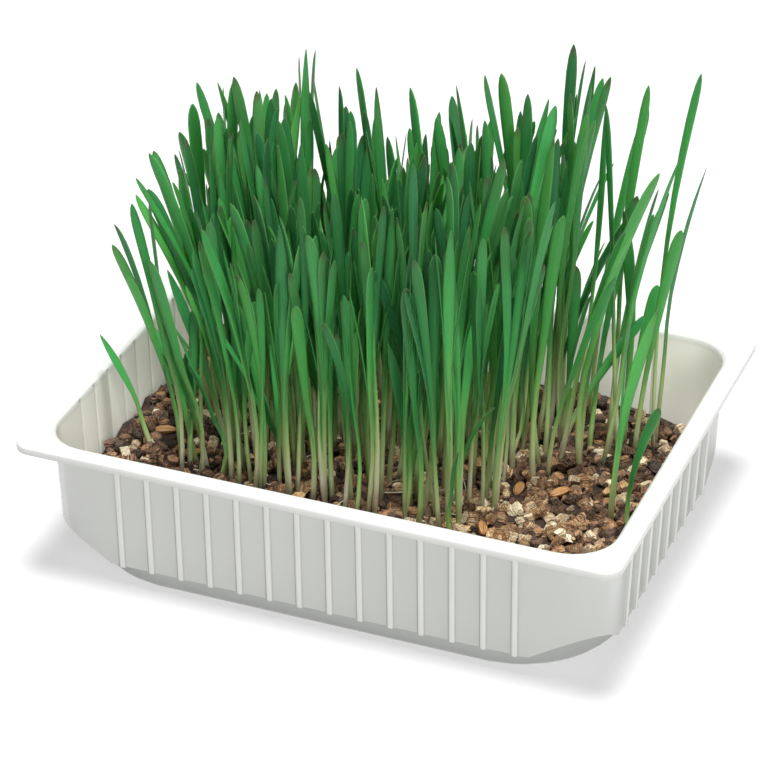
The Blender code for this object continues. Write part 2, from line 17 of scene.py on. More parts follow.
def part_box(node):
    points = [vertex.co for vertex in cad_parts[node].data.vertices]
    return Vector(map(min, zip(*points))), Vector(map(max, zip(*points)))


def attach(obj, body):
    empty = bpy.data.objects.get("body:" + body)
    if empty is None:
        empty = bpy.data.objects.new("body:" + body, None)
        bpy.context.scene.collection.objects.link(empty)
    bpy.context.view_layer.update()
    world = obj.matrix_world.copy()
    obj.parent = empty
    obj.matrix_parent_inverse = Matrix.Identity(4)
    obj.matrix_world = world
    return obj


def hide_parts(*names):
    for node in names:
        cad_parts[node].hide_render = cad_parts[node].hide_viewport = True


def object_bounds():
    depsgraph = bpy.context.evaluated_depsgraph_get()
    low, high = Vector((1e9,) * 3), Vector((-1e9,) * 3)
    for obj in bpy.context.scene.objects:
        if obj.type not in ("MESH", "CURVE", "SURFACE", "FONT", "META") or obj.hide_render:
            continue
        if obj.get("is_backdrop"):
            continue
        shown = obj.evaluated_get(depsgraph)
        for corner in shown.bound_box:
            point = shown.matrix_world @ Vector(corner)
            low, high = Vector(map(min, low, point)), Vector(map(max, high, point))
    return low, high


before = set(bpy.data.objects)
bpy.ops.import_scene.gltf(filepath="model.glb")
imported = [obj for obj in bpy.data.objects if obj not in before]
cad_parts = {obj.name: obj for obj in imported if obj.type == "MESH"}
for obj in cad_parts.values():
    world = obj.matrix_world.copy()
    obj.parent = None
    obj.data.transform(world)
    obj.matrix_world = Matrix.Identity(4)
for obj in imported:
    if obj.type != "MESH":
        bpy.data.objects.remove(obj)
cad_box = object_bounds()


# The tray
# A shallow seed tray, vacuum-formed in one piece from white polystyrene sheet. Its walls are
# stiffened by upright ribs, and its rim is turned down all round.

PLASTIC_COLOUR = (0.545, 0.555, 0.535, 1.0)
PLASTIC_SHADE = (0.51, 0.52, 0.495, 1.0)
# Painted highlight: the ribs' tops are paler, where light falls on them
RIB_HIGHLIGHT_COLOUR = (0.67, 0.675, 0.65, 1.0)
# Painted shade in the crease along each rib's flank
FLANK_SHADE_COLOUR = (0.42, 0.43, 0.41, 1.0)
# Painted shade on the plinth, which stands back under the walls
PLINTH_SHADE_COLOUR = (0.43, 0.44, 0.425, 1.0)
# Painted light on the rim, whose top takes the light from above
RIM_LIGHT_COLOUR = (0.66, 0.665, 0.645, 1.0)
# Painted light on the walls' inner side: paler and warm, where light from above and off the bed
# falls
INSIDE_LIGHT_COLOUR = (0.86, 0.85, 0.77, 1.0)
PLASTIC_ROUGHNESS = 0.16
DULLER_CLOUDS = 0.06
CLOUD_SCALE = 9.0
WAVE_SCALE = 30.0
WAVE_DEPTH = 0.0002

# Where the outer walls stand, and how far out of them a rib's flank and its top begin and end.
# A rib's flank gets painted shade there, and its top a painted highlight
WALL_FOOT = 0.0088
WALL_SLOPE = 0.033
WALL_HALF_LENGTH = 0.1062
WALL_HALF_WIDTH = 0.0787
FLANK_OUT = (0.0001, 0.0003)
FLANK_SHADE_STRENGTH = 0.8
SHORT_WALL_FLANK_SHADE = 0.4
RIB_TOP_OUT = (0.0005, 0.0008)
PLINTH_BLEND = 0.0008
RIM_BOTTOM = 0.0525
RIM_CLEAR = 0.001
RIM_BLEND = 0.004
# A face's normal times its place is below this on the walls' inner side, which gets painted light
INNER_SIDE = (-0.02, -0.05)

SAME_POINT = 0.000005
FLAT_WITHIN = math.radians(0.5)
TRAY_EDGE_ROUND = 0.00035
ROUNDED_FROM = math.radians(20)
SMOOTH_UP_TO = math.radians(28)


class Value:
    """One output of a material's node. Arithmetic on values adds Math nodes."""

    def __init__(self, tree, socket):
        self.tree = tree
        self.socket = socket

    def node(self, kind, settings=None, inputs=None, output=0):
        """A new node: its settings come first, then the values or links of its sockets."""
        made = self.tree.nodes.new(kind)
        for name, setting in (settings or {}).items():
            if name == "stops":
                lay_stops(made.color_ramp, setting)
            else:
                setattr(made, name, setting)
        for name, given in (inputs or {}).items():
            if isinstance(given, Value):
                self.tree.links.new(given.socket, made.inputs[name])
            else:
                made.inputs[name].default_value = given
        return Value(self.tree, made.outputs[output])

    def split(self):
        """The three numbers of a place or a tag."""
        outputs = self.node("ShaderNodeSeparateXYZ", None, {"Vector": self}).socket.node.outputs
        return [Value(self.tree, output) for output in outputs]

    def maths(self, operation, first, second=0.0):
        return self.node("ShaderNodeMath", {"operation": operation}, {0: first, 1: second})

    def __add__(self, other):
        return self.maths("ADD", self, other)

    def __radd__(self, other):
        return self.maths("ADD", other, self)

    def __sub__(self, other):
        return self.maths("SUBTRACT", self, other)

    def __rsub__(self, other):
        return self.maths("SUBTRACT", other, self)

    def __mul__(self, other):
        return self.maths("MULTIPLY", self, other)

    def __rmul__(self, other):
        return self.maths("MULTIPLY", other, self)

    def __abs__(self):
        return self.maths("ABSOLUTE", self)

    def between(self, low, high):
        """0 below `low`, 1 above `high`, with a smooth rise between."""
        inputs = {"Value": self, "From Min": low, "From Max": high}
        return self.node("ShaderNodeMapRange", {"interpolation_type": "SMOOTHSTEP"}, inputs)

    def blend(self, first, second):
        """`first` where this is 0 and `second` where it is 1, as colours."""
        colours = {0: self, 6: first, 7: second}
        return self.node("ShaderNodeMix", {"data_type": "RGBA"}, colours, 2)

    def ramp(self, stops):
        return self.node("ShaderNodeValToRGB", {"stops": stops}, {"Fac": self})

    def noise(self, scale, detail=2.0, roughness=0.5):
        """Noise over these coordinates, around 0.5."""
        inputs = {"Vector": self, "Scale": scale, "Detail": detail, "Roughness": roughness}
        return self.node("ShaderNodeTexNoise", None, inputs)


def lay_stops(colour_ramp, stops):
    """Give a ramp its stops, each a place from 0 to 1 and a colour."""
    while len(colour_ramp.elements) < len(stops):
        colour_ramp.elements.new(1.0)
    for element, (place, colour) in zip(colour_ramp.elements, stops):
        element.position = place
        element.color = colour


def new_finish(name, **constants):
    """A material with its Principled shader's fixed values, and the object's coordinates."""
    material = bpy.data.materials.new(name)
    material.use_nodes = True
    tree = material.node_tree
    shader = tree.nodes["Principled BSDF"]
    for socket, value in constants.items():
        shader.inputs[socket.replace("_", " ")].default_value = value
    coordinates = tree.nodes.new("ShaderNodeTexCoord")
    return material, Value(tree, coordinates.outputs["Object"])


def feed(place, colour=None, roughness=None, height=None, depth=0.0):
    """Link what varies to the shader: its colour, its roughness, and a relief `depth` deep."""
    tree = place.tree
    shader = tree.nodes["Principled BSDF"]
    if colour:
        tree.links.new(colour.socket, shader.inputs["Base Color"])
    if roughness:
        tree.links.new(roughness.socket, shader.inputs["Roughness"])
    if height:
        bump = place.node("ShaderNodeBump", None, {"Distance": depth, "Height": height})
        tree.links.new(bump.socket, shader.inputs["Normal"])


def dress(piece, material, slot, *nodes):
    """Give a finished piece its material and its place on the body, and hide its CAD nodes; the
    slot is not used.
    """
    piece.data.materials.clear()
    piece.data.materials.append(material)
    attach(piece, "root")
    if nodes:
        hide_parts(*nodes)


def start_piece(name, mesh):
    """An object with a mesh of its own, which is then the only one selected."""
    bpy.ops.object.select_all(action="DESELECT")
    piece = bpy.data.objects.new(name, mesh)
    bpy.context.scene.collection.objects.link(piece)
    bpy.context.view_layer.objects.active = piece
    piece.select_set(True)
    return piece


def apply_modifier(piece, name, kind, **settings):
    """Add a modifier to the selected piece and apply it."""
    modifier = piece.modifiers.new(name, kind)
    for setting, value in settings.items():
        setattr(modifier, setting, value)
    bpy.ops.object.modifier_apply(modifier=modifier.name)


def make_plastic():
    """Satin white sheet, with light and shade painted in: a painted highlight on the ribs' tops,
    and painted light on the rim and on the inner side, where light from above and off the bed
    falls.

    Each rib's flank and the plinth are greyer with painted shade.
    """
    material, place = new_finish("white_polystyrene", Specular_IOR_Level=0.5)
    cloud = place.noise(CLOUD_SCALE, 1.0)
    wave = place.noise(WAVE_SCALE, 0.0)
    x, y, z = place.split()
    lean = (z - WALL_FOOT) * WALL_SLOPE
    out_long = abs(y) - lean - WALL_HALF_WIDTH
    out_short = abs(x) - lean - WALL_HALF_LENGTH
    below_rim = 1.0 - z.between(RIM_BOTTOM - RIM_CLEAR, RIM_BOTTOM)
    # Painted shade along each rib's flank, weaker on the short walls
    flank_shade = out_long.between(*FLANK_OUT) + SHORT_WALL_FLANK_SHADE * out_short.between(*FLANK_OUT)
    flank_shade = (flank_shade * below_rim).between(0.0, 1.0)
    # Painted highlight on the ribs' tops
    ribs = out_long.between(*RIB_TOP_OUT) + out_short.between(*RIB_TOP_OUT)
    ribs = (ribs * below_rim).between(0.0, 1.0)
    # Painted shade on the plinth below the walls
    plinth = z.between(WALL_FOOT, WALL_FOOT - PLINTH_BLEND)
    # Painted light on the rim
    rim = z.between(RIM_BOTTOM, RIM_BOTTOM + RIM_BLEND)
    normal = place.node("ShaderNodeNewGeometry", None, None, 1)
    level = {0: place, 1: (1.0, 1.0, 0.0)}
    outward = place.node("ShaderNodeVectorMath", {"operation": "MULTIPLY"}, level)
    both = {0: outward, 1: normal}
    facing = place.node("ShaderNodeVectorMath", {"operation": "DOT_PRODUCT"}, both, 1)
    colour = cloud.between(0.3, 0.7).blend(PLASTIC_COLOUR, PLASTIC_SHADE)
    # Painted shade along each rib's flank
    colour = (FLANK_SHADE_STRENGTH * flank_shade).blend(colour, FLANK_SHADE_COLOUR)
    # Painted highlight on the ribs' tops
    colour = ribs.blend(colour, RIB_HIGHLIGHT_COLOUR)
    # Painted shade on the plinth
    colour = plinth.blend(colour, PLINTH_SHADE_COLOUR)
    # Painted light on the walls' inner side
    colour = facing.between(*INNER_SIDE).blend(colour, INSIDE_LIGHT_COLOUR)
    # Painted light on the rim
    colour = rim.blend(colour, RIM_LIGHT_COLOUR)
    feed(place, colour, PLASTIC_ROUGHNESS + DULLER_CLOUDS * cloud, wave, WAVE_DEPTH)
    return material


plastic = make_plastic()
tray = start_piece("formed_tray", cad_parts["tray"].data.copy())
bpy.ops.object.mode_set(mode="EDIT")
bpy.ops.mesh.select_all(action="SELECT")
bpy.ops.mesh.remove_doubles(threshold=SAME_POINT)
bpy.ops.mesh.dissolve_limited(angle_limit=FLAT_WITHIN)
bpy.ops.object.mode_set(mode="OBJECT")
apply_modifier(
    tray, "soft edges", "BEVEL", width=TRAY_EDGE_ROUND, segments=2, limit_method="ANGLE",
    angle_limit=ROUNDED_FROM, use_clamp_overlap=True,
)
bpy.ops.object.shade_smooth_by_angle(angle=SMOOTH_UP_TO)
dress(tray, plastic, "tray_plastic", "tray")


# The growing bed
# Exfoliated vermiculite, about 24 mm deep: mica that heat has puffed up into crumbs of thin
# plates, from dark brown to cream. Its body is the CAD solid, and loose crumbs cover it.

# Crumbs are laid on a loose square pitch, more of them on top, and fine ones everywhere.
# Sizes give the least, the greatest and the most usual width.
CRUMB_PITCH = 0.0040
CRUMB_SPREAD = 0.45
CRUMB_SIZES = (0.0034, 0.0066, 0.0044)
CRUMB_LIFT = 0.0004
TOP_CRUMBS = 600
TOP_CRUMB_LIFT = 0.0022
FINE_CRUMBS = 1300
FINE_CRUMB_SIZES = (0.0014, 0.0030, 0.0021)
FINE_CRUMB_LIFT = 0.0014
CRUMB_PIECES = 4

# A crumb's middle stays this far from a wall, a stem and a grain, and a share of its width more
WALL_ROOM, WALL_SHARE = 0.0022, 0.30
STEM_ROOM, STEM_SHARE = 0.0010, 0.18
GRAIN_ROOM, GRAIN_SHARE = 0.0026, 0.20
# From a grain to the place in front of it that would hide it, and the spots along it that count
GRAIN_FRONT = Vector((0.0012, -0.0030))
GRAIN_SPOTS = (-0.7, 0.0, 0.7)
BED_CORNER = 0.0150
ABOVE_BED = 0.01
# How far round its outline a crown counts as ground, and how its solid's corners are told apart
CROWN_MARGIN = 0.0006
CROWN_EDGE = 0.0002
CROWN_LEAST_DEPTH = 0.001

# Each shape's number of sides and of plates
CRUMB_SHAPES = ((5, 3), (6, 2), (6, 3), (7, 2), (5, 2), (4, 3), (6, 3))
FINE_CRUMB_SHAPES = ((5, 1), (6, 1))
CHUNK_SHAPE = (8, 7)
CRUMB_GROOVE = 0.12
CHUNK_GROOVE = 0.22
GROOVE_STEP = 0.04
PLATE_STACK = 0.85
CRUMB_TOP = (0.08, 0.70)
CRUMB_WEAR = (0.030, 0.030, 0.012)

# The large crumbs: x, y, width, heading and how light they are
CHUNKS = (
    (-0.0955, -0.0410, 0.0086, 0.38, 0.43),
    (-0.0955, -0.0110, 0.0080, 0.90, 0.40),
    (0.0900, -0.0480, 0.0080, 2.00, 0.60),
    (0.0640, -0.0600, 0.0070, 0.30, 0.66),
    (0.0760, -0.0150, 0.0075, 1.10, 0.56),
    (0.0480, -0.0470, 0.0065, 1.60, 0.78),
)
CHUNK_TIP = math.radians(84)
CHUNK_STRETCH = (0.80, 0.80, 1.15)
CHUNK_LIFT = 0.22

# How light the crumbs are, along the colours of the mica
CREAM_SHARE = 0.11
CREAM_TONES = (0.82, 1.0)
USUAL_TONE = 0.29
# The rise towards the front right is partly gold-coloured crumbs and partly painted light; the
# darker crumbs round it are partly painted shade by the walls and under the leaves
GOLDEN_AND_LIT_RISE = 0.24
TONE_SPREAD = 0.18
TONE_LIMITS = (0.05, 0.9)
GOLDEN_AND_LIT_MIDDLE = (0.045, -0.030)
GOLDEN_AND_LIT_REACH = (0.05, 0.06)
MICA_STOPS = (
    (0.00, (0.014, 0.008, 0.006, 1)),
    (0.20, (0.042, 0.022, 0.013, 1)),
    (0.38, (0.130, 0.068, 0.036, 1)),
    (0.52, (0.260, 0.145, 0.078, 1)),
    (0.63, (0.380, 0.170, 0.070, 1)),
    (0.76, (0.520, 0.330, 0.150, 1)),
    (0.89, (0.780, 0.570, 0.290, 1)),
    (1.00, (0.860, 0.760, 0.560, 1)),
)
SPECK_SCALE = 1100.0
BLOTCH_SCALE = 330.0
PLATE_SCALE = 26.0
PLATE_DEPTH = 0.0009
GRIT_SCALE = 420.0
# How far the ground between crumbs is darkened, as painted shade
GROUND_SHADE_TONE = 0.25
GRIT_DEPTH = 0.0008


def pick(piece, chosen):
    """In edit mode, select only the faces that `chosen` is true for."""
    form = bmesh.from_edit_mesh(piece.data)
    for face in form.faces:
        face.select = chosen(face)
    form.select_flush(True)
    bmesh.update_edit_mesh(piece.data)


def grow_end(rise, spread=1.0, aside=(0.0, 0.0)):
    """Extrude the selected end face upwards, then widen and shift it."""
    bpy.ops.mesh.extrude_region_move(TRANSFORM_OT_translate={"value": (0.0, 0.0, rise)})
    bpy.ops.transform.resize(value=(spread, spread, 1.0))
    bpy.ops.transform.translate(value=(*aside, 0.0))


def model_crumb(name, sides, plates, rng, groove=CRUMB_GROOVE):
    """One puffed crumb, a unit across: plates of mica with a groove between each two, then worn."""
    bpy.ops.object.select_all(action="DESELECT")
    bpy.ops.mesh.primitive_cylinder_add(vertices=sides, radius=0.5, depth=0.1, end_fill_type="NGON")
    crumb = bpy.context.object
    crumb.name = name
    bpy.ops.object.mode_set(mode="EDIT")
    pick(crumb, lambda face: face.normal.z > 0.9)
    bpy.ops.transform.translate(value=(0.0, 0.0, rng.uniform(0.0, 0.1)))
    for _ in range(plates):
        grow_end(GROOVE_STEP, 1.0 - groove * rng.uniform(0.8, 1.3))
        aside = (rng.uniform(-0.05, 0.05), rng.uniform(-0.05, 0.05))
        grow_end(GROOVE_STEP, 1.0 + groove * rng.uniform(0.8, 1.6), aside)
        grow_end(PLATE_STACK / plates * rng.uniform(0.7, 1.0), rng.uniform(0.92, 1.04))
    grow_end(*CRUMB_TOP)
    bpy.ops.object.mode_set(mode="OBJECT")
    points = [Vector(vert.co) for vert in crumb.data.vertices]
    low = min(point.z for point in points)
    high = max(point.z for point in points)
    tags = crumb.data.attributes.new("bed_tag", "FLOAT_VECTOR", "POINT")
    for vert, tag, point in zip(crumb.data.vertices, tags.data, points):
        along = (point.z - low) / (high - low)
        tag.vector = (0.0, along, 0.0)
        wear = Vector([rng.gauss(0, spread) for spread in CRUMB_WEAR])
        vert.co = point + wear - Vector((0.0, 0.0, (low + high) / 2))
    return crumb


def copy_of(template, matrix, tone):
    """A copy of a template with its own mesh, laid by a matrix, and a tone of its own.

    The three numbers of a bed tag are the tone, how far along and how far round a point is.
    """
    mesh = template.data.copy()
    mesh.transform(matrix)
    tags = mesh.attributes["bed_tag"].data
    values = np.empty(len(tags) * 3)
    tags.foreach_get("vector", values)
    values[0::3] = tone
    tags.foreach_set("vector", values)
    copy = bpy.data.objects.new(template.name, mesh)
    bpy.context.scene.collection.objects.link(copy)
    return copy


def join_copies(name, copies):
    """Make one object of them all."""
    bpy.ops.object.select_all(action="DESELECT")
    for copy in copies:
        copy.select_set(True)
    bpy.context.view_layer.objects.active = copies[0]
    bpy.ops.object.join()
    joined = bpy.context.view_layer.objects.active
    joined.name = name
    return joined


def merged_form(node):
    """A CAD node's mesh, with the corners that its loose triangles share made one."""
    form = bmesh.new()
    form.from_mesh(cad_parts[node].data)
    bmesh.ops.remove_doubles(form, verts=form.verts, dist=SAME_POINT)
    return form


def crown_of(node):
    """The middle of the top of a tuft's root crown, and how far the crown reaches round it."""
    form = merged_form(node)
    low = min(vert.co.z for vert in form.verts)
    foot = [vert.co for vert in form.verts if vert.co.z < low + CROWN_EDGE]
    middle = sum(foot, Vector()) / len(foot)
    reach = max((corner - middle).xy.length for corner in foot)
    rim = [
        vert.co.z for vert in form.verts
        if vert.co.z > low + CROWN_LEAST_DEPTH
        and abs((vert.co - middle).xy.length - reach) < CROWN_EDGE
    ]
    form.free()
    return Vector((middle.x, middle.y, min(rim))), reach


def make_bed_ground():
    """What shows between the crumbs: the same mica, finer and darkened with painted shade."""
    material, place = new_finish("vermiculite_ground", Roughness=0.9)
    cells = {"Vector": place, "Scale": GRIT_SCALE}
    grit = place.node("ShaderNodeTexVoronoi", None, cells, 1)
    # Painted shade: the ground's tone is held low, as the gaps between crumbs lie in shade
    dark = GROUND_SHADE_TONE * grit.node("ShaderNodeRGBToBW", None, {"Color": grit})
    hollows = place.node("ShaderNodeTexVoronoi", None, cells)
    feed(place, dark.ramp(MICA_STOPS), None, 1.0 - hollows, GRIT_DEPTH)
    return material


def make_mica():
    """Mica in thin plates: darker and lighter layers along a crumb, with dull and glossy specks."""
    material, place = new_finish("vermiculite", Specular_IOR_Level=0.6)
    tagged = place.node("ShaderNodeAttribute", {"attribute_name": "bed_tag"}, None, 1)
    tone, along, _ = tagged.split()
    grain = place.noise(SPECK_SCALE, 3.0, 0.6)
    blotch = place.noise(BLOTCH_SCALE, 2.0)
    inputs = {"W": along + tone * 7.0, "Scale": PLATE_SCALE, "Detail": 1.0}
    plates = place.node("ShaderNodeTexNoise", {"noise_dimensions": "1D"}, inputs)
    ends = abs(along - 0.5).between(0.44, 0.5)
    layered = (plates.between(0.35, 0.65) - 0.5) * (1.0 - ends)
    shift = 0.45 * (blotch - 0.5) + 0.75 * (grain - 0.5) + 0.50 * layered + 0.12 * ends
    roughness = 0.30 + 0.5 * grain.between(0.40, 0.62)
    feed(place, (tone + shift).ramp(MICA_STOPS), roughness, grain + 0.8 * plates, PLATE_DEPTH)
    return material


mica_ground = make_bed_ground()
bed_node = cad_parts["vermiculite_bed"]
bed_node.data.materials.clear()
bed_node.data.materials.append(mica_ground)

tuft_nodes = sorted(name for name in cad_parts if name.startswith("barley_tuft"))
grain_nodes = sorted(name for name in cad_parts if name.startswith("barley_grain"))
crowns = {name: crown_of(name) for name in tuft_nodes}
bed_form = merged_form("vermiculite_bed")
bed_tree = BVHTree.FromBMesh(bed_form)
bed_form.free()
bed_low, bed_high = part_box("vermiculite_bed")


def bed_height(x, y):
    """The height of the bed's surface, over the tops of the root crowns too."""
    for top, reach in crowns.values():
        if (top.xy - Vector((x, y))).length < reach + CROWN_MARGIN:
            return top.z
    start = Vector((x, y, bed_high.z + ABOVE_BED))
    hit = bed_tree.ray_cast(start, Vector((0.0, 0.0, -1.0)))[0]
    return hit.z if hit else None


def grain_lie(node):
    """A grain's middle and the way from there to one end, from its node."""
    form = merged_form(node)
    points = [vert.co.copy() for vert in form.verts]
    form.free()
    middle = sum(points, Vector()) / len(points)
    end = max(points, key=lambda point: (point - middle).length)
    return middle, end - middle


grain_lies = [grain_lie(name) for name in grain_nodes]


def next_ring(ring, seen):
    """The corners that a ring's edges lead to, apart from those already passed."""
    return {edge.other_vert(vert) for vert in ring for edge in vert.link_edges} - seen


# A shoot's solid has three corners round its centre line at these shares of its length
SHOOT_RINGS = (0.95, 0.80, 0.42)
LEAST_SHOOT = 0.015
# A stem's foot stands further from its crown than in the solid, by this share and at random
FOOT_SPREAD = 0.9
FOOT_STRAY = 0.0022
FOOT_TO_WALL = 0.004
FOOT_TO_GRAIN = 0.004
FOOT_BEFORE_GRAIN = 0.007
# Where a stem comes out of the crumbs, as a share of the way to its steering point
OUT_OF_BED = 0.08


def read_shoots(node):
    """Each shoot of a tuft's solid, as its tip and its rings' corners from the top down."""
    crown = crowns[node][0]
    form = merged_form(node)
    shoots = []
    for tip in form.verts:
        if len(tip.link_edges) != 3 or tip.co.z < crown.z + LEAST_SHOOT:
            continue
        seen = {tip}
        ring = {tip}
        corners = []
        for _ in SHOOT_RINGS:
            ring = next_ring(ring, seen)
            seen |= ring
            corners.append([vert.co.copy() for vert in ring])
        shoots.append((tip.co.copy(), corners))
    form.free()
    return sorted(shoots, key=lambda shoot: tuple(shoot[0]))


def centre_line(tip, corners):
    """Root and steering point of the curve that a shoot follows, which ends at its tip."""
    upper, lower = (np.mean(ring, axis=0) for ring in (corners[1], corners[2]))
    shares = []
    aims = []
    for share, centre in ((SHOOT_RINGS[1], upper), (SHOOT_RINGS[2], lower)):
        shares.append([(1 - share) ** 2, 2 * share * (1 - share)])
        aims.append(centre - np.array(tip) * share ** 2)
    root, steer = np.linalg.solve(shares, aims)
    return root, steer


def clear_of_grains(x, y, room, front_room):
    """True if nothing of that room covers a grain, or stands right in front of it."""
    spot = Vector((x, y))
    for middle, half in grain_lies:
        for share in GRAIN_SPOTS:
            at = (middle + half * share).xy
            if (at - spot).length < room or (at + GRAIN_FRONT - spot).length < front_room:
                return False
    return True


def in_bed(x, y, room):
    """True inside the bed's rounded outline, and that far from the wall."""
    reach_x = bed_high.x - room - BED_CORNER
    reach_y = bed_high.y - room - BED_CORNER
    past = Vector((max(0.0, abs(x) - reach_x), max(0.0, abs(y) - reach_y)))
    return past.length < BED_CORNER


def shoot_curve(crown, tip, corners, rng):
    """Root, steering point and tip of a shoot, its foot set apart from those next to it."""
    root, steer = centre_line(tip, corners)
    away = np.array([root[0] - crown.x, root[1] - crown.y, 0.0])
    stray = np.array([rng.gauss(0.0, FOOT_STRAY), rng.gauss(0.0, FOOT_STRAY), 0.0])
    spread = root + away * FOOT_SPREAD + stray
    x, y = spread[:2]
    if in_bed(x, y, FOOT_TO_WALL) and clear_of_grains(x, y, FOOT_TO_GRAIN, FOOT_BEFORE_GRAIN):
        root = spread
    return root, steer, np.array(tip)


foot_rng = random.Random(3)
shoot_plans = {}
stem_feet = []
for name in tuft_nodes:
    shoot_plans[name] = [
        (shoot_curve(crowns[name][0], tip, corners, foot_rng), corners)
        for tip, corners in read_shoots(name)
    ]
    for (root, steer, _), _ in shoot_plans[name]:
        at = root + (steer - root) * OUT_OF_BED
        stem_feet.append(Vector(at[:2]))


def has_room(x, y, size):
    """True if a crumb of that size covers no stem's foot and no grain."""
    spot = Vector((x, y))
    if not in_bed(x, y, WALL_ROOM + WALL_SHARE * size):
        return False
    if any((foot - spot).length < STEM_ROOM + STEM_SHARE * size for foot in stem_feet):
        return False
    return clear_of_grains(x, y, GRAIN_ROOM, GRAIN_ROOM + GRAIN_SHARE * size)


def any_turn(rng):
    """A turn that lays a crumb any way up."""
    axis = Vector((rng.gauss(0, 1), rng.gauss(0, 1), rng.gauss(0, 1))).normalized()
    return Matrix.Rotation(rng.uniform(0, 2 * math.pi), 4, axis)


def tone_at(rng, x, y):
    """How light a crumb is. Golden ones lie towards the front right, and darker ones all round:
    partly the crumbs' own colours, and partly painted light where the bed lies open and painted
    shade by the walls and under the leaves.
    """
    if rng.random() < CREAM_SHARE:
        return rng.uniform(*CREAM_TONES)
    off_x = (x - GOLDEN_AND_LIT_MIDDLE[0]) / GOLDEN_AND_LIT_REACH[0]
    off_y = (y - GOLDEN_AND_LIT_MIDDLE[1]) / GOLDEN_AND_LIT_REACH[1]
    # Partly the crumbs' own colour, partly painted light towards the front right
    golden_and_lit = math.exp(-off_x ** 2 - off_y ** 2)
    darkest, lightest = TONE_LIMITS
    return min(lightest, max(darkest, rng.gauss(USUAL_TONE + GOLDEN_AND_LIT_RISE * golden_and_lit, TONE_SPREAD)))


def lay_chunk(shape, x, y, size, heading, tone):
    """A large crumb on its side, so that the edges of all its plates show."""
    turn = Matrix.Rotation(heading, 4, "Z") @ Matrix.Rotation(CHUNK_TIP, 4, "Y")
    stretch = Matrix.Diagonal([size * share for share in CHUNK_STRETCH] + [1.0])
    place = Matrix.Translation((x, y, bed_height(x, y) + size * CHUNK_LIFT))
    return copy_of(shape, place @ turn @ stretch, tone)


def lay_crumb(rng, shapes, x, y, size, lift):
    """A crumb any way up, that far above the bed's body, or None where the bed has none."""
    ground = bed_height(x, y)
    if ground is None:
        return None
    width, depth = size * rng.uniform(0.7, 1.0), size * rng.uniform(0.7, 1.25)
    stretch = Matrix.Diagonal((size, width, depth, 1.0))
    place = Matrix.Translation((x, y, ground + lift))
    return copy_of(rng.choice(shapes), place @ any_turn(rng) @ stretch, tone_at(rng, x, y))


crumb_rng = random.Random(7)
crumb_shapes = [
    model_crumb(f"crumb_shape_{sides}_{plates}", sides, plates, crumb_rng)
    for sides, plates in CRUMB_SHAPES
]
crumbs = []
columns = round(2 * bed_high.x / CRUMB_PITCH)
rows = round(2 * bed_high.y / CRUMB_PITCH)
for row in range(rows):
    for column in range(columns):
        x = (column + 0.5 - columns / 2 + crumb_rng.uniform(-1, 1) * CRUMB_SPREAD) * CRUMB_PITCH
        y = (row + 0.5 - rows / 2 + crumb_rng.uniform(-1, 1) * CRUMB_SPREAD) * CRUMB_PITCH
        size = crumb_rng.triangular(*CRUMB_SIZES)
        if has_room(x, y, size):
            crumbs.append(lay_crumb(crumb_rng, crumb_shapes, x, y, size, CRUMB_LIFT))
fine_shapes = [
    model_crumb(f"fine_shape_{sides}", sides, plates, crumb_rng)
    for sides, plates in FINE_CRUMB_SHAPES
]
loose = (
    (TOP_CRUMBS, crumb_shapes, CRUMB_SIZES, TOP_CRUMB_LIFT),
    (FINE_CRUMBS, fine_shapes, FINE_CRUMB_SIZES, FINE_CRUMB_LIFT),
)
for count, shapes, sizes, lift in loose:
    for _ in range(count):
        x = crumb_rng.uniform(bed_low.x, bed_high.x)
        y = crumb_rng.uniform(bed_low.y, bed_high.y)
        size = crumb_rng.triangular(*sizes)
        if has_room(x, y, size):
            crumbs.append(lay_crumb(crumb_rng, shapes, x, y, size, lift))
chunk_shape = model_crumb("chunk_shape", *CHUNK_SHAPE, crumb_rng, CHUNK_GROOVE)
for chunk in CHUNKS:
    crumbs.append(lay_chunk(chunk_shape, *chunk))
crumbs = [crumb for crumb in crumbs if crumb]
mica = make_mica()
for number in range(CRUMB_PIECES):
    heap = join_copies(f"vermiculite_crumbs_{number + 1}", crumbs[number::CRUMB_PIECES])
    dress(heap, mica, "vermiculite")


# The grains
# Spent barley grains that lie on the bed: a dry husk with ribs, and a crease along its belly,
# drawn to a point at both ends.

GRAIN_WIDTH = 0.43
GRAIN_THICKNESS = 0.35
GRAIN_POINTED = 0.30
CREASE_DEPTH = 0.055
CREASE_WIDTH = 0.05
GRAIN_ROLL = 0.7
HUSK_STOPS = (
    (0.0, (0.26, 0.105, 0.030, 1)),
    (0.5, (0.50, 0.240, 0.085, 1)),
    (1.0, (0.72, 0.450, 0.200, 1)),
)
HUSK_RIBS = 9.0
HUSK_MOTTLE_SCALE = 700.0
HUSK_RELIEF = 0.00012


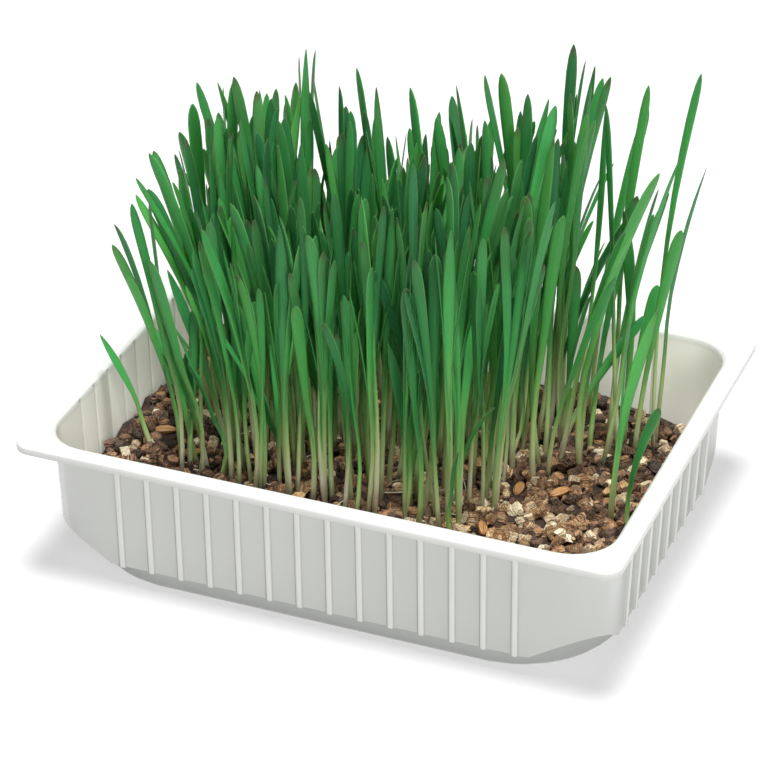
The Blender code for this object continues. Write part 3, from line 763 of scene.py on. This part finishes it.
def model_grain():
    """A barley grain a unit long: a round form drawn to points, with a crease pressed along it."""
    bpy.ops.object.select_all(action="DESELECT")
    bpy.ops.mesh.primitive_uv_sphere_add(segments=14, ring_count=12, radius=0.5)
    grain = bpy.context.object
    grain.name = "grain_shape"
    bpy.ops.object.mode_set(mode="EDIT")
    bpy.ops.mesh.select_all(action="SELECT")
    bpy.ops.transform.resize(value=(GRAIN_WIDTH, GRAIN_THICKNESS, 1.0))
    form = bmesh.from_edit_mesh(grain.data)
    for vert in form.verts:
        point = abs(vert.co.z) * 2
        narrow = 1.0 - GRAIN_POINTED * point ** 3
        near_crease = math.exp(-((vert.co.x / CREASE_WIDTH) ** 2))
        crease = CREASE_DEPTH * near_crease * (1.0 - point ** 4)
        vert.co.x *= narrow
        vert.co.y *= narrow
        if vert.co.y > 0:
            vert.co.y -= crease
    bmesh.update_edit_mesh(grain.data)
    bpy.ops.object.mode_set(mode="OBJECT")
    apply_modifier(grain, "rounder", "SUBSURF", levels=2, render_levels=2)
    bpy.ops.object.shade_smooth()
    grain.data.attributes.new("bed_tag", "FLOAT_VECTOR", "POINT")
    tags = []
    for vert in grain.data.vertices:
        tags += [0.0, vert.co.z + 0.5, math.atan2(vert.co.y, vert.co.x)]
    grain.data.attributes["bed_tag"].data.foreach_set("vector", tags)
    return grain


def make_husk():
    """Dry husk: straw brown, mottled, ribbed along the grain and darker at its ends."""
    material, place = new_finish("barley_husk", Specular_IOR_Level=0.5, Subsurface_Weight=0.08)
    tagged = place.node("ShaderNodeAttribute", {"attribute_name": "bed_tag"}, None, 1)
    _, along, around = tagged.split()
    ribs = place.maths("SINE", around * HUSK_RIBS)
    mottle = place.noise(HUSK_MOTTLE_SCALE, 3.0)
    ends = (abs(along - 0.5) * 2.0).between(0.7, 1.0)
    tone = 0.50 + 0.04 * ribs + 0.6 * (mottle - 0.5) - 0.35 * ends
    feed(place, tone.ramp(HUSK_STOPS), 0.42 + 0.2 * mottle, ribs + mottle, HUSK_RELIEF)
    return material


grain_shape = model_grain()
husk = make_husk()
grain_rng = random.Random(11)
for number, (name, (middle, half)) in enumerate(zip(grain_nodes, grain_lies), start=1):
    heading = half.normalized()
    turn = heading.to_track_quat("Z", "Y").to_matrix().to_4x4()
    roll = Matrix.Rotation(grain_rng.uniform(-GRAIN_ROLL, GRAIN_ROLL), 4, "Z")
    size = Matrix.Scale(2 * half.length, 4)
    grain = copy_of(grain_shape, Matrix.Translation(middle) @ turn @ roll @ size, 0.0)
    grain.name = f"spent_grain_{number}"
    dress(grain, husk, "barley_grain", name)


# The shoots
# About 300 young barley shoots. Each is a pale round sheath that opens into one to three blades,
# folded along their midribs, and each tuft stands on a crown where its roots grow together.

# A leaf's stations, from its foot at 0 to its tip at 1: its width and thickness there
LEAF_SIDES = 8
LEAF_PROFILES = {
    "blunt": (
        (0.00, 0.50, 0.40), (0.12, 0.46, 0.38), (0.24, 0.43, 0.34), (0.36, 0.45, 0.27),
        (0.47, 0.52, 0.20), (0.58, 0.65, 0.15), (0.69, 0.81, 0.12), (0.79, 0.95, 0.11),
        (0.87, 1.02, 0.10), (0.93, 0.98, 0.10), (0.965, 0.78, 0.09), (0.985, 0.50, 0.07),
        (0.996, 0.20, 0.05),
    ),
    "pointed": (
        (0.00, 0.52, 0.40), (0.12, 0.48, 0.38), (0.24, 0.46, 0.34), (0.35, 0.48, 0.26),
        (0.45, 0.57, 0.19), (0.55, 0.71, 0.14), (0.65, 0.87, 0.12), (0.74, 0.98, 0.11),
        (0.82, 0.97, 0.10), (0.89, 0.80, 0.09), (0.94, 0.56, 0.08), (0.975, 0.32, 0.06),
        (0.992, 0.15, 0.04),
    ),
}
TIP_WIDTH = 0.05
BLUNT_SHARE = 0.75
LEAF_FOLD = (0.10, 0.42)
FOLD_FROM = 0.25
FOLD_RISE = 0.3
FOLD_EVEN = 0.4
STEM_WAVER = 0.0012
WAVER_END = 0.5

# Second and third blades leave the sheath of the first one at this share of its height
SHEATH_END = 0.38
SECOND_BLADE_SHARE = 0.80
SECOND_BLADE_SIZE = (0.68, 0.94)
SECOND_BLADE_HEIGHT = (0.82, 0.99)
SECOND_BLADE_ASIDE = (0.004, 0.011)
SECOND_BLADE_TURN = (0.6, 1.4)
LEAN_POWER = 1.5
THIRD_BLADE_SHARE = 0.85
TALL_SHOOT = 0.115
# Shoots to the left and right of these places are single, but for a few
DENSE_BETWEEN = (-0.085, 0.050)
SPARSE_SHARE = 0.22

# A knot of roots fills its solid but for a little
KNOT_WIDTH = 0.86
KNOT_DEPTH = 0.90
KNOT_ROUGHNESS = 0.10

SHOOT_STOPS = (
    (0.00, (0.72, 0.72, 0.52, 1)),
    (0.07, (0.62, 0.69, 0.40, 1)),
    (0.20, (0.45, 0.63, 0.24, 1)),
    (0.38, (0.20, 0.51, 0.13, 1)),
    (0.58, (0.068, 0.40, 0.088, 1)),
    (0.90, (0.045, 0.30, 0.075, 1)),
    (1.00, (0.055, 0.23, 0.065, 1)),
)
COOL_GREEN = (0.012, 0.135, 0.052, 1.0)
WARM_GREEN = (0.110, 0.430, 0.075, 1.0)
VEIN_GREEN = (0.20, 0.46, 0.13, 1.0)
MIDRIB_GREEN = (0.24, 0.50, 0.16, 1.0)
# Paler leaf edges: partly the leaf's own margin, partly a painted highlight along the edges
MARGIN_AND_HIGHLIGHT_GREEN = (0.20, 0.50, 0.15, 1.0)
DRY_TIP = (0.085, 0.055, 0.045, 1.0)
KNOT_BROWN = (0.045, 0.025, 0.015, 1.0)
VEINS = 34.0
LEAF_MOTTLE_SCALE = 60.0
LEAF_FINE_SCALE = 900.0
VEIN_RELIEF = 0.00008


def model_leaf(name, profile):
    """A flat shoot a unit long: a round stem that widens into a blade, extruded ring by ring."""
    bpy.ops.object.select_all(action="DESELECT")
    bpy.ops.mesh.primitive_circle_add(vertices=LEAF_SIDES, radius=1.0, fill_type="NGON")
    leaf = bpy.context.object
    leaf.name = name
    bpy.ops.object.mode_set(mode="EDIT")
    bpy.ops.mesh.select_all(action="SELECT")
    before = (0.0, 1.0, 1.0)
    for at, wide, thick in profile:
        if at > 0:
            rise = {"value": (0.0, 0.0, at - before[0])}
            bpy.ops.mesh.extrude_region_move(TRANSFORM_OT_translate=rise)
        bpy.ops.transform.resize(value=(wide / before[1], thick / before[2], 1.0))
        before = (at, wide, thick)
    rise = {"value": (0.0, 0.0, 1.0 - before[0])}
    bpy.ops.mesh.extrude_region_move(TRANSFORM_OT_translate=rise)
    bpy.ops.mesh.merge(type="CENTER")
    bpy.ops.mesh.select_all(action="SELECT")
    bpy.ops.mesh.normals_make_consistent(inside=False)
    bpy.ops.object.mode_set(mode="OBJECT")
    bpy.ops.object.shade_smooth()
    return leaf


def leaf_across(points, profile):
    """How far across the blade each point is, from -1 at one edge to 1 at the other."""
    stations = [at for at, _, _ in profile] + [1.0]
    widths = [wide for _, wide, _ in profile] + [TIP_WIDTH]
    return points[:, 0] / np.interp(points[:, 2], stations, widths)


def flat_side(ring, rising):
    """From one edge of a shoot's solid to the other at a ring, across its flat upper side."""
    ring = [Vector(corner) for corner in ring]
    pairs = [(ring[i], ring[j], ring[3 - i - j]) for i, j in ((0, 1), (0, 2), (1, 2))]
    left, right, keel = max(pairs, key=lambda pair: (pair[0] - pair[1]).length)
    side = right - left
    return -side if side.cross(keel - left).dot(rising) > 0 else side


def lay_leaf(kind, curve, corners, waver, rng, second=False):
    """A copy of a leaf's shape, bent along a shoot's centre line and turned as its solid is.

    A second blade is slimmer and shorter. It grows out of the first one's sheath and leans aside.
    """
    shape, profile = leaf_shapes[kind], LEAF_PROFILES[kind]
    root, steer, tip = curve
    sides = [flat_side(ring, Vector(tip - root)) for ring in (corners[1], corners[2])]
    upper, lower = (math.atan2(side.y, side.x) for side in sides)
    turn = (upper - lower + math.pi) % (2 * math.pi) - math.pi
    half = max(side.length / 2 for side in sides)
    height = 1.0
    lean = np.zeros(3)
    if second:
        half *= rng.uniform(*SECOND_BLADE_SIZE)
        away = rng.uniform(0, 2 * math.pi)
        height = rng.uniform(*SECOND_BLADE_HEIGHT)
        lean = rng.uniform(*SECOND_BLADE_ASIDE) * np.array([math.cos(away), math.sin(away), 0.0])
        lower += rng.uniform(*SECOND_BLADE_TURN)
    mesh = shape.data.copy()
    points = np.empty(len(mesh.vertices) * 3)
    mesh.vertices.foreach_get("co", points)
    points = points.reshape(-1, 3)
    t = points[:, 2:3] * height
    centre = root * (1 - t) ** 2 + steer * 2 * t * (1 - t) + tip * t ** 2
    centre = centre + waver * np.sin(math.pi * t / WAVER_END) * (t < WAVER_END)
    free = np.clip((t - SHEATH_END) / (height - SHEATH_END), 0.0, 1.0)
    centre = centre + lean * free ** LEAN_POWER
    along = (steer - root) * (1 - t) + (tip - steer) * t
    along /= np.linalg.norm(along, axis=1, keepdims=True)
    gap = SHOOT_RINGS[1] - SHOOT_RINGS[2]
    angle = lower + turn * (np.maximum(t, SHOOT_RINGS[2]) - SHOOT_RINGS[2]) / gap
    side = np.hstack([np.cos(angle), np.sin(angle), 0.0 * angle])
    side -= along * np.sum(side * along, axis=1, keepdims=True)
    side /= np.linalg.norm(side, axis=1, keepdims=True)
    normal = np.cross(along, side)
    opened = np.clip((points[:, 2:3] - FOLD_FROM) / FOLD_RISE, 0.0, 1.0)
    fold = rng.uniform(*LEAF_FOLD) * opened
    across = points[:, 0:1]
    lift = points[:, 1:2] + fold * (np.abs(across) - FOLD_EVEN)
    laid = centre + side * across * half + normal * lift * half
    mesh.vertices.foreach_set("co", laid.ravel())
    tone = np.full(len(points), rng.random())
    tags = np.column_stack([leaf_across(points, profile), points[:, 2], tone])
    mesh.attributes.new("shoot_tag", "FLOAT_VECTOR", "POINT")
    mesh.attributes["shoot_tag"].data.foreach_set("vector", tags.ravel())
    copy = bpy.data.objects.new("shoot", mesh)
    bpy.context.scene.collection.objects.link(copy)
    return copy


def model_crown():
    """A unit root crown: a squat knot of roots, wider than it is deep."""
    bpy.ops.object.select_all(action="DESELECT")
    bpy.ops.mesh.primitive_ico_sphere_add(subdivisions=2, radius=1.0)
    crown = bpy.context.object
    crown.name = "crown_shape"
    bpy.ops.object.mode_set(mode="EDIT")
    bpy.ops.mesh.select_all(action="SELECT")
    bpy.ops.transform.vertex_random(offset=KNOT_ROUGHNESS, seed=3)
    bpy.ops.object.mode_set(mode="OBJECT")
    crown.data.attributes.new("shoot_tag", "FLOAT_VECTOR", "POINT")
    tags = [0.0, -1.0, 0.5] * len(crown.data.vertices)
    crown.data.attributes["shoot_tag"].data.foreach_set("vector", tags)
    return crown


def make_grass():
    """Pale at the foot, green above, with fine veins along the blade and a lighter midrib.

    A shoot tag's three numbers are how far across and along a point is, and the shoot's tone. The
    knots of roots are tagged as lying below the foot, which colours them brown.
    """
    material, place = new_finish(
        "barley_leaf", Specular_IOR_Level=0.30, Subsurface_Weight=0.25, Subsurface_Scale=0.002,
    )
    shader = place.tree.nodes["Principled BSDF"]
    shader.inputs["Subsurface Radius"].default_value = (0.5, 1.0, 0.25)
    tagged = place.node("ShaderNodeAttribute", {"attribute_name": "shoot_tag"}, None, 1)
    across, along, tone = tagged.split()
    mottle = place.noise(LEAF_MOTTLE_SCALE, 3.0)
    fine = place.noise(LEAF_FINE_SCALE, 2.0)
    other_tone = place.maths("FRACT", tone * 7.31)
    blade = along.between(0.2, 0.5)
    veins = place.maths("SINE", across * VEINS)
    midrib = (1.0 - abs(across).between(0.0, 0.12)) * blade
    # Paler edges, partly margin colour and partly a painted highlight
    edge = abs(across).between(0.80, 0.98) * blade
    dry = (along + 0.02 * mottle).between(0.965, 1.0) * other_tone.between(0.55, 0.9)
    colour = (along + 0.26 * (other_tone - 0.5) + 0.12 * (mottle - 0.5)).ramp(SHOOT_STOPS)
    colour = (blade * tone.between(0.55, 0.0) * 0.80).blend(colour, COOL_GREEN)
    colour = (blade * tone.between(0.72, 1.0) * 0.50).blend(colour, WARM_GREEN)
    colour = (0.06 * blade * veins.between(-0.2, 1.0)).blend(colour, VEIN_GREEN)
    colour = (0.12 * midrib).blend(colour, MIDRIB_GREEN)
    # Paler edges, partly margin colour and partly a painted highlight
    colour = (0.50 * edge).blend(colour, MARGIN_AND_HIGHLIGHT_GREEN)
    colour = (0.65 * dry).blend(colour, DRY_TIP)
    colour = along.between(-0.3, -0.6).blend(colour, KNOT_BROWN)
    roughness = 0.32 + 0.14 * fine + 0.10 * mottle
    relief = veins * 0.4 * blade + fine * 0.3 - 0.5 * midrib
    feed(place, colour, roughness, relief, VEIN_RELIEF)
    return material


def lay_knot(top, reach, bottom):
    """The knot of roots under a tuft, inside its solid crown."""
    depth = (top.z - bottom) / 2
    mesh = crown_shape.data.copy()
    size = Matrix.Diagonal((reach * KNOT_WIDTH, reach * KNOT_WIDTH, depth * KNOT_DEPTH, 1.0))
    mesh.transform(Matrix.Translation((top.x, top.y, top.z - depth)) @ size)
    knot = bpy.data.objects.new("knot", mesh)
    bpy.context.scene.collection.objects.link(knot)
    return knot


leaf_shapes = {
    kind: model_leaf(f"leaf_shape_{kind}", profile) for kind, profile in LEAF_PROFILES.items()
}
crown_shape = model_crown()
grass = make_grass()
shoot_rng = random.Random(5)
for number, (name, plan) in enumerate(shoot_plans.items(), start=1):
    parts = [lay_knot(*crowns[name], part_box(name)[0].z)]
    for curve, corners in plan:
        root, _, tip = curve
        kind = "blunt" if shoot_rng.random() < BLUNT_SHARE else "pointed"
        waver = np.array([shoot_rng.gauss(0.0, STEM_WAVER), shoot_rng.gauss(0.0, STEM_WAVER), 0.0])
        parts.append(lay_leaf(kind, curve, corners, waver, shoot_rng))
        shares = [SECOND_BLADE_SHARE, THIRD_BLADE_SHARE if tip[2] > TALL_SHOOT else 0.0]
        if not DENSE_BETWEEN[0] < root[0] < DENSE_BETWEEN[1]:
            shares = [SPARSE_SHARE]
        for share in shares:
            if shoot_rng.random() < share:
                parts.append(lay_leaf("blunt", curve, corners, waver, shoot_rng, second=True))
    tuft = join_copies(f"barley_shoots_{number:02d}", parts)
    dress(tuft, grass, "barley_leaf", name)


# The roots
# Thin white rootlets, grown from the feet of the front stems. They run over the crumbs and end
# among them.

ROOTLETS = 30
ROOTLET_LENGTHS = (0.006, 0.015)
ROOTLET_RADIUS = 0.00021
ROOTLET_END = 0.45
ROOTLET_BEND = 0.5
ROOTLET_ARCH = 0.0016
ROOTLET_LIFTS = (0.0035, 0.0030)
ROOTLET_TO_WALL = 0.004
ROOTED_BEFORE = 0.02
ROOT_COLOUR = (0.80, 0.74, 0.60, 1.0)
ROOT_SHADE = (0.62, 0.52, 0.36, 1.0)


def make_root_white():
    material, place = new_finish("root_white", Roughness=0.5, Subsurface_Weight=0.2)
    feed(place, place.noise(300.0).blend(ROOT_COLOUR, ROOT_SHADE))
    return material


def lay_rootlet(name, start, heading, length, rng):
    """A root thread from a stem's foot: a bent curve over the crumbs, made a thin tapered tube."""
    bpy.ops.object.select_all(action="DESELECT")
    bpy.ops.curve.primitive_bezier_curve_add()
    thread = bpy.context.object
    thread.name = name
    near, far = thread.data.splines[0].bezier_points
    reach = Vector((math.cos(heading), math.sin(heading), 0.0)) * length
    bend = Vector((-reach.y, reach.x, 0.0)) * rng.uniform(-ROOTLET_BEND, ROOTLET_BEND)
    end = start + reach
    end.z = (bed_height(end.x, end.y) or start.z) + ROOTLET_LIFTS[1]
    near.co = start
    near.handle_right = start + reach * 0.35 + bend + Vector((0.0, 0.0, ROOTLET_ARCH))
    near.handle_left = start - reach * 0.1
    far.co = end
    far.handle_left = end - reach * 0.35 + bend
    far.handle_right = end + reach * 0.1
    far.radius = ROOTLET_END
    thread.data.bevel_depth = ROOTLET_RADIUS
    thread.data.bevel_resolution = 1
    thread.data.resolution_u = 9
    thread.data.use_fill_caps = True
    bpy.ops.object.convert(target="MESH")
    thread = bpy.context.object
    bpy.ops.object.shade_smooth()
    return thread


root_white = make_root_white()
root_rng = random.Random(23)
rootlets = []
rooted_feet = [foot for foot in stem_feet if foot.y < ROOTED_BEFORE]
front_feet = sorted(rooted_feet, key=lambda foot: foot.x)
for number in range(ROOTLETS):
    foot = root_rng.choice(front_feet)
    ground = bed_height(*foot)
    start = Vector((foot.x, foot.y, ground + ROOTLET_LIFTS[0]))
    length = root_rng.uniform(*ROOTLET_LENGTHS)
    heading = root_rng.uniform(-math.pi, 0.0)
    end = foot + Vector((math.cos(heading), math.sin(heading))) * length
    if in_bed(end.x, end.y, ROOTLET_TO_WALL):
        rootlets.append(lay_rootlet("rootlet", start, heading, length, root_rng))
threads = join_copies("root_threads", rootlets)
dress(threads, root_white, "barley_leaf")

single_shapes = [chunk_shape, grain_shape, crown_shape]
for shape in [*crumb_shapes, *fine_shapes, *single_shapes, *leaf_shapes.values()]:
    bpy.data.objects.remove(shape, do_unlink=True)


# The studio
# A pale floor that glows a little, so that it stays white round the tray, a soft light above it
# and a weaker one at the front right.

FLOOR_SIZE = 8.0
FLOOR_GLOW = 0.50
FLOOR_PALE = (0.42, 0.42, 0.42, 1.0)
FLOOR_DARK = (0.40, 0.40, 0.40, 1.0)
WHITE = (1.0, 1.0, 1.0, 1.0)
ROOM_LIGHT = 0.15
# Name, place, width and power of each lamp
LAMPS = (
    ("key", (0.10, -0.20, 2.20), 0.7, 82.0),
    ("side", (0.90, -1.00, 0.60), 0.5, 6.5),
)
LAMPS_AIM = Vector((0.0, 0.0, 0.06))
PICTURE_WIDTH = 766
FOCAL_PIXELS = 3263
CAMERA_TURN = math.radians(21.64)
CAMERA_TILT = math.radians(30.63)
CAMERA_PLACE = (0.3791, -0.9680, 0.6759)


def make_floor():
    """The floor that the tray stands on."""
    bpy.ops.object.select_all(action="DESELECT")
    bpy.ops.mesh.primitive_plane_add(size=FLOOR_SIZE)
    floor = bpy.context.object
    floor.name = "floor"
    material, place = new_finish(
        "studio_floor", Roughness=0.9, Specular_IOR_Level=0.1, Emission_Strength=FLOOR_GLOW,
        Emission_Color=WHITE,
    )
    feed(place, place.noise(0.4).blend(FLOOR_DARK, FLOOR_PALE))
    floor.data.materials.append(material)
    floor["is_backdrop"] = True


def add_lamp(name, place, width, power):
    """A square soft lamp that shines at the grass."""
    lamp = bpy.data.lights.new(name, "AREA")
    lamp.shape = "RECTANGLE"
    lamp.size = lamp.size_y = width
    lamp.energy = power
    light = bpy.data.objects.new(name, lamp)
    light.location = place
    light.rotation_euler = (LAMPS_AIM - Vector(place)).to_track_quat("-Z", "Y").to_euler()
    bpy.context.scene.collection.objects.link(light)


def add_camera():
    """The photo's angle: turned to the right of the long side's front, and tilted down."""
    lens = bpy.data.cameras.new("camera")
    lens.sensor_width = 36.0
    lens.lens = FOCAL_PIXELS / PICTURE_WIDTH * lens.sensor_width
    lens.clip_end = 10.0
    camera = bpy.data.objects.new("camera", lens)
    away = Vector((math.sin(CAMERA_TURN), -math.cos(CAMERA_TURN), 0.0)) * math.cos(CAMERA_TILT)
    away.z = math.sin(CAMERA_TILT)
    right = Vector((math.cos(CAMERA_TURN), math.sin(CAMERA_TURN), 0.0))
    camera.matrix_world = Matrix((right, away.cross(right), away)).transposed().to_4x4()
    camera.location = CAMERA_PLACE
    bpy.context.scene.collection.objects.link(camera)
    bpy.context.scene.camera = camera


make_floor()
for lamp_facts in LAMPS:
    add_lamp(*lamp_facts)
world = bpy.data.worlds.new("studio")
world.use_nodes = True
background = world.node_tree.nodes["Background"]
background.inputs["Color"].default_value = WHITE
background.inputs["Strength"].default_value = ROOM_LIGHT
bpy.context.scene.world = world
bpy.context.scene.view_settings.view_transform = "Standard"
add_camera()

sizes = {
    "cad": [list(corner) for corner in cad_box],
    "visual": [list(corner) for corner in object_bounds()],
}
